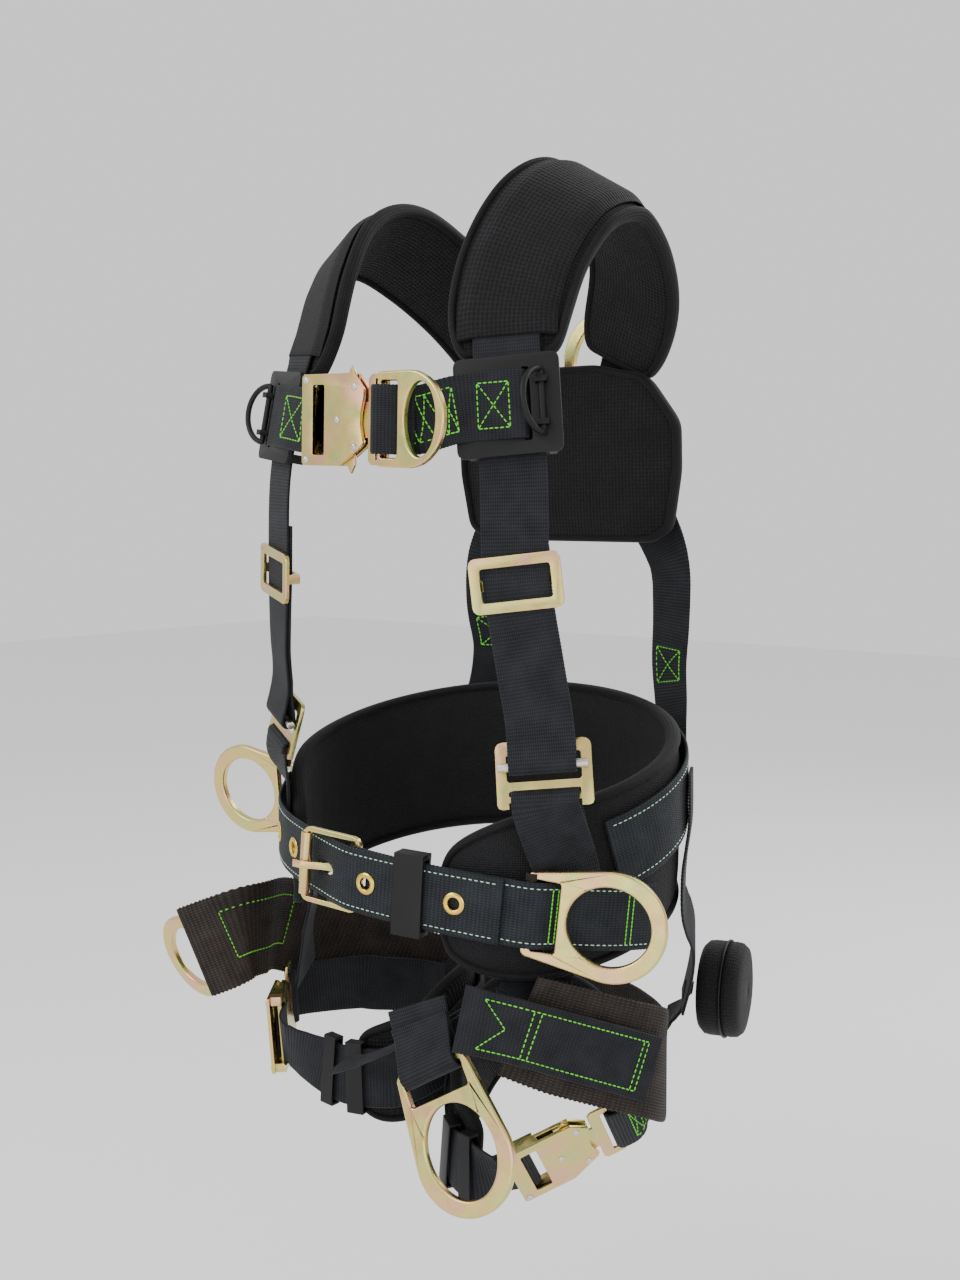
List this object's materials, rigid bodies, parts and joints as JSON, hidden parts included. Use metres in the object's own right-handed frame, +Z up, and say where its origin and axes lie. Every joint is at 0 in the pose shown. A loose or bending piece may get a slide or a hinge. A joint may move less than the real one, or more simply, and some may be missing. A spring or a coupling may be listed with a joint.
{
  "type": "tree climbing saddle",
  "caption": "Full-body climbing harness: padded work-positioning belt, shoulder and chest webs, seat webs with dees and leg loops with quick-connect buckles.",
  "frame": {"origin": "centre of the wearer's waist, level with the middle of the belt", "axes": "+Z up along the wearer's spine, the wearer faces -Y, the wearer's left side is +X"},
  "size_m": [0.5053, 0.3282, 0.7389],
  "materials": {
    "yellow_zinc": "yellow zinc plated steel, satin",
    "bright_steel": "bright plated steel",
    "black_plastic": "satin black moulded plastic",
    "brown_webbing": "wide woven nylon, ribbed across",
    "black_webbing": "woven nylon webbing",
    "padding": "mesh and ballistic cloth over foam",
    "pouch_cloth": "ballistic nylon cloth"
  },
  "bodies": {
    "harness": {"belt_buckle_frame": "yellow_zinc", "belt_buckle_web": "black_webbing", "belt_rear_web": "black_webbing", "belt_tongue_web": "black_webbing", "chest_buckle_body": "yellow_zinc", "chest_buckle_tab": "yellow_zinc", "chest_guide_left": "black_plastic", "chest_guide_right": "black_plastic", "chest_web_left": "black_webbing", "chest_web_right": "black_webbing", "crossing_web": "black_webbing", "dorsal_pad": "padding", "dorsal_plate": "black_plastic", "hip_web": "brown_webbing", "leg_left_buckle_body": "yellow_zinc", "leg_left_buckle_tab": "yellow_zinc", "leg_pad_left": "padding", "leg_pad_right": "padding", "leg_right_buckle_body": "yellow_zinc", "leg_right_buckle_tab": "yellow_zinc", "leg_web_left": "black_webbing", "leg_web_right": "black_webbing", "pouch_web": "black_webbing", "relief_pouch": "pouch_cloth", "riser_web_left": "black_webbing", "riser_web_right": "black_webbing", "seat_loop_left": "black_webbing", "seat_web_left": "black_webbing", "seat_web_right": "black_webbing", "shoulder_pad_left": "padding", "shoulder_pad_right": "padding", "shoulder_web_left": "black_webbing", "shoulder_web_right": "black_webbing", "torso_buckle_left": "yellow_zinc", "torso_buckle_right": "yellow_zinc", "torso_lower_web_left": "black_webbing", "torso_lower_web_right": "black_webbing", "waist_pad": "padding"},
    "side_dee_left": {"side_dee_left": "yellow_zinc"},
    "side_dee_right": {"side_dee_right": "yellow_zinc"},
    "seat_dee_left": {"seat_dee_left": "yellow_zinc"},
    "seat_dee_right": {"seat_dee_right": "yellow_zinc"},
    "chest_dee": {"chest_dee": "yellow_zinc"},
    "dorsal_dee": {"dorsal_dee": "yellow_zinc"},
    "lanyard_ring_left": {"lanyard_ring_left": "black_plastic"},
    "lanyard_ring_right": {"lanyard_ring_right": "black_plastic"},
    "belt_buckle_prong": {"belt_buckle_prong": "yellow_zinc"},
    "belt_buckle_roller": {"belt_buckle_roller": "yellow_zinc"},
    "torso_bar_left": {"torso_bar_left": "bright_steel"},
    "torso_bar_right": {"torso_bar_right": "bright_steel"},
    "relief_pouch_lid": {"relief_pouch_lid": "pouch_cloth"},
    "chest_release_upper": {"chest_release_upper": "yellow_zinc"},
    "leg_left_release_upper": {"leg_left_release_upper": "yellow_zinc"},
    "leg_right_release_upper": {"leg_right_release_upper": "yellow_zinc"},
    "chest_release_lower": {"chest_release_lower": "yellow_zinc"},
    "torso_adjuster_left": {"torso_adjuster_left": "yellow_zinc"},
    "leg_keeper_left": {"leg_keeper_left": "black_plastic"},
    "torso_adjuster_right": {"torso_adjuster_right": "yellow_zinc"},
    "leg_keeper_right": {"leg_keeper_right": "black_plastic"},
    "belt_keeper": {"belt_keeper": "black_plastic"}
  },
  "joints": [
    {"name": "side_dee_left_swing", "type": "hinge", "parent": "harness", "child": "side_dee_left", "pos_m": [0.11509, -0.09444, -0.03431], "axis": [-0.0793, -0.0582, -0.9952], "range_deg": [-2, 100]},
    {"name": "side_dee_right_swing", "type": "hinge", "parent": "harness", "child": "side_dee_right", "pos_m": [-0.16355, -0.02707, -0.0002], "axis": [0.0398, -0.1448, 0.9887], "range_deg": [-58, 30]},
    {"name": "seat_dee_left_swing", "type": "hinge", "parent": "harness", "child": "seat_dee_left", "pos_m": [0.06239, -0.13303, -0.1403], "axis": [-0.8348, -0.2152, -0.5067], "range_deg": [-5, 24]},
    {"name": "seat_dee_right_swing", "type": "hinge", "parent": "harness", "child": "seat_dee_right", "pos_m": [-0.20849, -0.06829, -0.12007], "axis": [-0.4279, -0.2488, 0.8689], "range_deg": [0, 58]},
    {"name": "chest_dee_swing", "type": "hinge", "parent": "harness", "child": "chest_dee", "pos_m": [0.03023, -0.14495, 0.29252], "axis": [-0.0299, 0.0026, -0.9995], "range_deg": [0, 100]},
    {"name": "dorsal_dee_fold", "type": "hinge", "parent": "harness", "child": "dorsal_dee", "pos_m": [0, 0.1495, 0.3], "axis": [-1, 0, 0], "range_deg": [-5, 90]},
    {"name": "lanyard_ring_left_fold", "type": "hinge", "parent": "harness", "child": "lanyard_ring_left", "pos_m": [0.12418, -0.09378, 0.30359], "axis": [-0.1452, 0.0974, 0.9846], "range_deg": [-40, 90]},
    {"name": "lanyard_ring_right_fold", "type": "hinge", "parent": "harness", "child": "lanyard_ring_right", "pos_m": [-0.13217, -0.08978, 0.3037], "axis": [-0.1494, -0.1, -0.9837], "range_deg": [-120, 8]},
    {"name": "belt_prong_lift", "type": "hinge", "parent": "harness", "child": "belt_buckle_prong", "pos_m": [-0.01174, -0.12508, -0.02193], "axis": [0.0891, -0.0048, 0.996], "range_deg": [0, 6]},
    {"name": "belt_roller_spin", "type": "hinge", "parent": "harness", "child": "belt_buckle_roller", "pos_m": [-0.05626, -0.13033, -0.01797], "axis": [0.0891, -0.0048, 0.996], "continuous": true},
    {"name": "torso_bar_left_roll", "type": "hinge", "parent": "harness", "child": "torso_bar_left", "pos_m": [0.12595, -0.09412, 0.06663], "axis": [-0.8654, -0.4919, -0.0957], "continuous": true},
    {"name": "torso_bar_right_roll", "type": "hinge", "parent": "harness", "child": "torso_bar_right", "pos_m": [-0.13394, -0.07686, 0.07698], "axis": [-0.8549, 0.48, 0.1966], "continuous": true},
    {"name": "pouch_lid_open", "type": "hinge", "parent": "harness", "child": "relief_pouch_lid", "pos_m": [0.1484, 0.12118, -0.17], "axis": [0.3011, -0.9536, 0], "range_deg": [-70, 0]},
    {"name": "chest_release_upper_press", "type": "slide", "parent": "harness", "child": "chest_release_upper", "axis": [-0.0299, 0.0026, -0.9995], "range_m": [0, 0.003], "stiffness_N_per_m": 150},
    {"name": "leg_left_release_upper_press", "type": "slide", "parent": "harness", "child": "leg_left_release_upper", "axis": [-0.1453, 0.6391, -0.7553], "range_m": [0, 0.003], "stiffness_N_per_m": 150},
    {"name": "leg_right_release_upper_press", "type": "slide", "parent": "harness", "child": "leg_right_release_upper", "axis": [0.0159, -0.1101, 0.9938], "range_m": [0, 0.003], "stiffness_N_per_m": 150},
    {"name": "chest_release_lower_press", "type": "slide", "parent": "harness", "child": "chest_release_lower", "axis": [0.0299, -0.0026, 0.9995], "range_m": [0, 0.003], "stiffness_N_per_m": 150},
    {"name": "torso_adjuster_left_slide", "type": "slide", "parent": "harness", "child": "torso_adjuster_left", "axis": [0.1082, 0.0491, -0.9929], "range_m": [-0.004, 0.004]},
    {"name": "leg_keeper_left_slide", "type": "slide", "parent": "harness", "child": "leg_keeper_left", "axis": [0.828, -0.5043, -0.2453], "range_m": [-0.002, 0.002]},
    {"name": "torso_adjuster_right_slide", "type": "slide", "parent": "harness", "child": "torso_adjuster_right", "axis": [-0.1111, 0.0829, -0.9903], "range_m": [-0.004, 0.004]},
    {"name": "leg_keeper_right_slide", "type": "slide", "parent": "harness", "child": "leg_keeper_right", "axis": [-0.9789, -0.2028, -0.0244], "range_m": [-0.002, 0.002]},
    {"name": "belt_keeper_slide", "type": "slide", "parent": "harness", "child": "belt_keeper", "axis": [0.9706, 0.233, -0.0599], "range_m": [-0.004, 0.004]}
  ]
}
